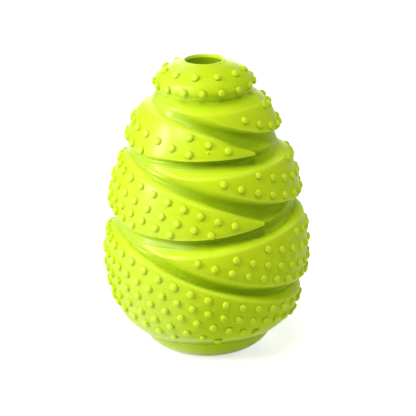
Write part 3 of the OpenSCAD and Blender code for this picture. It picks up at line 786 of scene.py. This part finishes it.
def domeFaces(segments, rings):
    # triangles round the apex, quads between the rings, and triangles down to the root
    j = np.arange(segments)
    following = (j + 1) % segments
    last = 1 + (rings - 1) * segments
    faces = np.stack([0 * j, 1 + j, 1 + following], -1).tolist()
    for base in range(1, last, segments):
        faces += np.stack([base + j, base + segments + j, base + segments + following,
                           base + following], -1).tolist()
    return faces + np.stack([last + j, 0 * j + last + segments, last + following], -1).tolist()


def buildNubs(name, places, radiusAt, random, replaced):
    # Each nub is a dome of rings about the surface's own normal, with a small flare at its foot.
    # The normal is the cross product of the surface's slopes round the toy and up it.
    angle, z, size = places.T
    centre = onToy(angle, radiusAt(angle, z), z)
    right = slopeAt(radiusAt, angle, z, nub["turnStep"], 0)
    normal = np.cross(right, slopeAt(radiusAt, angle, z, 0, nub["riseStep"]))
    normal /= np.linalg.norm(normal, axis=1, keepdims=True)
    up = np.cross(normal, right)
    count, segments = len(places), nub["segments"]
    turn = fullTurn(segments)
    around = np.cos(turn) * right[:, None, :] + np.sin(turn) * up[:, None, :]
    spread = nub["radiusSpread"]
    width = nub["radius"] * size * (1 + random.uniform(-spread, spread, count))
    height = nub["height"] * size * (1 - random.uniform(0, nub["heightSpread"], count))
    width, height = width[:, None, None], height[:, None, None]
    axis, middle = normal[:, None, :], centre[:, None, :]
    rings = [middle + reach * width * around + lift * height * axis for reach, lift in nub["profile"]]
    points = np.concatenate([middle + height * axis] + rings + [middle - nub["sunk"] * axis], axis=1)
    perNub = points.shape[1]
    oneNub = domeFaces(segments, len(rings))
    faces = [[corner + n * perNub for corner in face] for n in range(count) for face in oneNub]
    lifts = np.repeat([lift for _, lift in nub["profile"]], segments)
    shares = np.concatenate([[1.0], lifts, [lifts[-1]]])
    # painted shade round each nub's foot, and a painted highlight on its cap
    depth = dusk(np.sin(angle))[:, None] * (1 - smoothStep(shares, *tones["nubFoot"]))
    return makePiece(name, points.reshape(-1, 3), faces, nubRubber,
                     surfaceAttributes(points, points[..., 2], smoothStep(shares, *nub["cap"]), depth),
                     replaced)


random = np.random.default_rng(7)
for bandName in bands:
    buildNubs(bandName.replace("_band", "_knobs"), nubPlaces(bandName), bandRadius(bandName), random,
              [bandName.replace("_band", "_nubs")])


crown = {
    "overhang": 1.7,            # how far it reaches out over the neck
    "widestShare": 0.21,        # height of the widest place, as a share of the crown's height
    "power": 1.8,
    "underShare": 0.6,          # of the overhang that is drawn in below the widest place
    "lowerStart": 0.55,         # height over the neck where the crown's own side starts
    "footing": 1.6,             # how far the soft hollow under it runs down the neck
    "neckSunk": 0.1, "neckWall": 1.0,       # the hollow's foot inside the neck, and its thickness
    "baseRise": 0.05, "baseInset": 1.5,     # the crown's underside, over the neck and in from it
    "holeEnds": (2.4, 1.0),     # the rows down the hole, from the toy's top and to the neck
    "seatInset": 0.3, "seatDrop": 1.2,      # where the lip sits in it
    "lipWidth": 1.6, "lipStand": 0.2,
    # across the lip, from outside to inside: share of its width and drop below the top
    "lipProfile": [(1.06, 0.80), (1.0, 0.44), (0.8, 0.32), (0.6, 0.20), (0.45, 0.07), (0.36, 0.02),
                   (0.28, 0.05), (0.22, 0.20), (0.17, 0.5), (0.11, 1.0), (0.06, 1.5), (0.02, 1.95),
                   (0.6, 2.0)],
    "flash": 0.22,              # how far the mould's flash stands out at the hole
    "flashAngles": (286, 74), "flashReach": 0.4,
    "flashCrest": 0.3, "flashWidth": 0.16,  # share of the lip's width where it stands, and how wide
    "domeRows": 46, "sideRows": 10, "hollowRows": 9, "holeRows": 8, "around": 256, "lipAround": 288,
    "lowerRing": (16, -2, 22.5), "upperRing": (10, 82, -31.5),      # count, first angle and pitch
    "upperRingShare": 0.81,
}
crownHeight = toyTop - neckZ
crownRadius = float(floorRadius(np.array(neckZ))) + crown["overhang"]
crownWidestZ = neckZ + crownHeight * crown["widestShare"]
lipMiddle = core["holeRadius"] + crown["lipWidth"] / 2
domeHeight = ((toyTop - crown["lipStand"] - crownWidestZ)
              / (1 - (lipMiddle / crownRadius) ** crown["power"]) ** (1 / crown["power"]))


def domeZ(radius):
    # height of the dome, a superellipse, at a radius
    power = crown["power"]
    inward = np.clip(radius / crownRadius, 0, 1)
    return crownWidestZ + domeHeight * (1 - inward ** power) ** (1 / power)


def domeRadius(z):
    # a parabola below the widest place, a superellipse above it
    power = crown["power"]
    down = (crownWidestZ - z) / (crownWidestZ - neckZ)
    up = np.clip((z - crownWidestZ) / domeHeight, 0, 1)
    return np.where(z < crownWidestZ,
                    crownRadius - crown["overhang"] * crown["underShare"] * down ** 2,
                    crownRadius * (1 - up ** power) ** (1 / power))


def turnedPiece(name, profile, around, material, replaced, depthAt=0.0):
    # a closed profile of (radius, height) turned round the axis
    profile = np.array(profile, float)
    points = onToy(fullTurn(around), profile[None, :, 0], profile[None, :, 1])
    return makePiece(name, points.reshape(-1, 3), gridFaces(*points.shape[:2]), material,
                     surfaceAttributes(points, profile[None, :, 1], 0.0, depthAt), replaced)


def buildCrown():
    # The hollow is a quarter ellipse from the neck out to the crown's side, which goes up to the
    # dome and the lip's seat; then the profile goes down the hole and back out to the hollow
    hole, seat = core["holeRadius"], core["holeRadius"] + crown["lipWidth"]
    quarter = np.linspace(0, math.pi / 2, crown["domeRows"])
    dome = [(r, float(domeZ(r))) for r in seat + (crownRadius - seat) * np.cos(quarter)]
    sideZ = np.linspace(neckZ + crown["lowerStart"], crownWidestZ, crown["sideRows"])[:-1]
    side = [(float(domeRadius(z)), z) for z in sideZ]
    sideRadius, footing = side[0][0], neckZ - crown["footing"]
    neckRadius = float(floorRadius(np.array(footing))) - crown["neckSunk"]
    hollow = [(neckRadius + (sideRadius - neckRadius) * (1 - math.cos(a)),
               footing + (sideZ[0] - footing) * math.sin(a))
              for a in np.linspace(0, math.pi / 2, crown["hollowRows"])[:-1]]
    seatZ, baseZ = toyTop - crown["seatDrop"], neckZ + crown["baseRise"]
    holeTop, holeEnd = toyTop - crown["holeEnds"][0], neckZ + crown["holeEnds"][1]
    profile = ([(hole, baseZ), (neckRadius - crown["baseInset"], baseZ),
                (neckRadius - crown["neckWall"], footing)]
               + hollow + side + dome + [(seat - crown["seatInset"], seatZ), (hole, seatZ)]
               + [(hole, high) for high in np.linspace(holeTop, holeEnd, crown["holeRows"])])
    radius, height = np.array(profile).T
    # painted shade all down the hole and in the hollow under the crown's overhang
    duskAround = dusk(np.sin(fullTurn(crown["around"])))
    depth = np.maximum(radius <= hole, duskAround * (1 - smoothStep(height, footing, sideZ[0])))
    return turnedPiece("crown_dome", profile, crown["around"], crownRubber, ["crown_cap"], depth)


def buildLip():
    # The hole's edge: a profile turned round the axis. Its crest is a bell across the lip, and where
    # the mould left flash it is uneven, by sines of unlike pitch.
    turn = fullTurn(crown["lipAround"])
    share, drop = np.array(crown["lipProfile"]).T
    crest = np.exp(-((share - crown["flashCrest"]) / crown["flashWidth"]) ** 2)[None, :]
    near = sum(np.exp(-((turn - math.radians(middle)) / crown["flashReach"]) ** 2)
               for middle in crown["flashAngles"])
    ragged = 0.5 * np.sin(23 * turn + 1.3) * np.sin(7 * turn) + 0.3 * np.sin(41 * turn)
    radius = (core["holeRadius"] + crown["lipWidth"] * share[None, :]
              - crown["flash"] * ragged * near * crest)
    z = toyTop - drop[None, :] - crown["flash"] * (0.3 + np.abs(ragged)) * (0.2 + near) * crest
    points = onToy(turn, radius, z)
    # the crest also carries a painted highlight along the lip
    return makePiece("hole_rim", points.reshape(-1, 3), gridFaces(*points.shape[:2]), crownRubber,
                     surfaceAttributes(points, z, crest, 0.0), ["hole_lip"])


def crownNubPlaces():
    # two rings of evenly spaced nubs; the upper one leaves the rear right bare
    upperZ = float(domeZ(crownRadius * crown["upperRingShare"]))
    return np.array([(math.radians(start + pitch * i), height, 1.0)
                     for height, (count, start, pitch) in ((crownWidestZ, crown["lowerRing"]),
                                                           (upperZ, crown["upperRing"]))
                     for i in range(count)])


buildCrown()
buildLip()
buildNubs("crown_knobs", crownNubPlaces(), lambda angle, z: domeRadius(z), random, ["crown_nubs"])


foot = {
    "restRadius": 14.6, "restInset": 0.2,
    "inset": 0.5,               # how far its widest place lies inside the channel floors
    "centreShare": 1.18,        # height of that place, as a share of the foot's height
    "mouthRound": 1.0,
    "edgeHeight": 0.12,         # where its side starts above the rest face
    "rows": 30, "around": 256,
}


def buildFoot():
    # a squashed ball, an ellipse turned round the axis, cut flat at the rest face and with the mouth
    # through it
    widest = float(floorRadius(np.array(footZ))) - foot["inset"]
    centre = footZ * foot["centreShare"]
    half = centre / math.sqrt(1 - (foot["restRadius"] / widest) ** 2)
    z = np.linspace(foot["edgeHeight"], footZ, foot["rows"])
    outside = [(widest * math.sqrt(1 - ((high - centre) / half) ** 2), high) for high in z]
    mouth, rounding = core["mouthRadius"], foot["mouthRound"]
    edge = [(mouth + rounding * (1 - math.sin(a)), rounding * (1 - math.cos(a)))
            for a in np.linspace(math.pi / 2, 0, 7)]
    profile = edge + [(foot["restRadius"] - foot["restInset"], 0.0)] + outside + [(mouth, footZ)]
    return turnedPiece("foot_cup", profile, foot["around"], crownRubber, ["base_foot"])


buildFoot()


stage = {
    "target": (0.0, 0.0, 0.05659), "distance": 1.737, "elevation": 17.3, "roll": -0.9,
    "pixelsRight": -2.0, "pixelsUp": 3.2,       # where the target lies from the middle of the picture
    "picture": 416, "focalPixels": 4500.0,
    "keyAim": (-0.935, -0.331, 0.42), "keyDistance": 1.05, "keySize": (0.18, 0.56), "keyPower": 7.2,
    "fillAim": (-0.48, -0.57, 0.67), "fillDistance": 1.8, "fillSize": (0.5, 0.5), "fillPower": 10.0,
    "topAim": (0.05, -0.35, 0.93), "topDistance": 1.2, "topSize": (0.35, 0.35), "topPower": 5.0,
    "sideAim": (0.85, -0.30, 0.62), "sideDistance": 1.3, "sideSize": (0.3, 0.3), "sidePower": 2.5,
    "backAim": (0.0, 0.96, 0.28), "backDistance": 1.5, "backSize": (0.8, 0.8), "backPower": 11.0,
    "worldLevel": 0.08, "floorSize": 6.0, "floorColour": (0.70, 0.70, 0.69, 1), "floorGlow": 0.68,
}


def buildCamera():
    # the photo's place: round the target at its elevation, rolled a little, shifted to the frame
    data = bpy.data.cameras.new("camera")
    data.sensor_width = 36.0
    data.lens = data.sensor_width * stage["focalPixels"] / stage["picture"]
    data.shift_x = -stage["pixelsRight"] / stage["picture"]
    data.shift_y = -stage["pixelsUp"] / stage["picture"]
    data.clip_start, data.clip_end = 0.05, 20
    camera = addObject("camera", data)
    tilt = math.radians(stage["elevation"])
    back = Vector((0, -math.cos(tilt), math.sin(tilt)))
    camera.location = Vector(stage["target"]) + back * stage["distance"]
    look = (-back).to_track_quat("-Z", "Y").to_matrix()
    camera.rotation_euler = (look @ Matrix.Rotation(math.radians(stage["roll"]), 3, "Z")).to_euler()
    bpy.context.scene.camera = camera


def addLamp(name):
    # a soft box of a width and a height that faces the toy from a direction
    data = bpy.data.lights.new(name + "Light", "AREA")
    data.shape, data.energy = "RECTANGLE", stage[name + "Power"]
    data.size, data.size_y = stage[name + "Size"]
    lamp = addObject(name + "Light", data)
    toward = Vector(stage[name + "Aim"]).normalized()
    lamp.location = Vector(stage["target"]) + toward * stage[name + "Distance"]
    lamp.rotation_euler = toward.to_track_quat("Z", "Y").to_euler()


def seenDirectly(tree):
    # 1 for camera, glossy and transmission rays, and 0 for the rest
    path = addNode(tree, "ShaderNodeLightPath")
    both = addMath(tree, "MAXIMUM", path.outputs["Is Camera Ray"], path.outputs["Is Glossy Ray"])
    return addMath(tree, "MAXIMUM", both, path.outputs["Is Transmission Ray"])


def buildFloor():
    # a pale floor whose white is its own where it is seen, so that only the toy's shadow shows
    half = stage["floorSize"] / 2
    mesh = bpy.data.meshes.new("floor")
    corners = [(-half, -half, 0), (half, -half, 0), (half, half, 0), (-half, half, 0)]
    mesh.from_pydata(corners, [], [(0, 1, 2, 3)])
    material = bpy.data.materials.new("paleFloor")
    tree = emptyTree(material)
    diffuse = addNode(tree, "ShaderNodeBsdfDiffuse", None, {"Color": stage["floorColour"]})
    glow = addNode(tree, "ShaderNodeEmission", None,
                   {"Color": (1, 1, 1, 1), "Strength": stage["floorGlow"]})
    lit = addNode(tree, "ShaderNodeAddShader", None, None,
                  {0: diffuse.outputs[0], 1: glow.outputs[0]})
    shown = addNode(tree, "ShaderNodeMixShader", None, None,
                    {0: seenDirectly(tree), 1: diffuse.outputs[0], 2: lit.outputs[0]})
    addNode(tree, "ShaderNodeOutputMaterial", None, None, {"Surface": shown.outputs[0]})
    mesh.materials.append(material)
    floor = addObject("floor", mesh)


def buildWorld():
    # dim light all round, and plain white where it is seen
    world = bpy.data.worlds.new("studio")
    tree = emptyTree(world)
    dim, white = (addNode(tree, "ShaderNodeBackground", None,
                          {"Color": (1, 1, 1, 1), "Strength": level})
                  for level in (stage["worldLevel"], 1.0))
    shown = addNode(tree, "ShaderNodeMixShader", None, None,
                    {0: seenDirectly(tree), 1: dim.outputs[0], 2: white.outputs[0]})
    addNode(tree, "ShaderNodeOutputWorld", None, None, {"Surface": shown.outputs[0]})
    bpy.context.scene.world = world


buildCamera()
for lampName in ("key", "fill", "top", "side", "back"):
    addLamp(lampName)
buildFloor()
buildWorld()
bpy.context.scene.view_settings.view_transform = "Standard"
print("stage is ready")
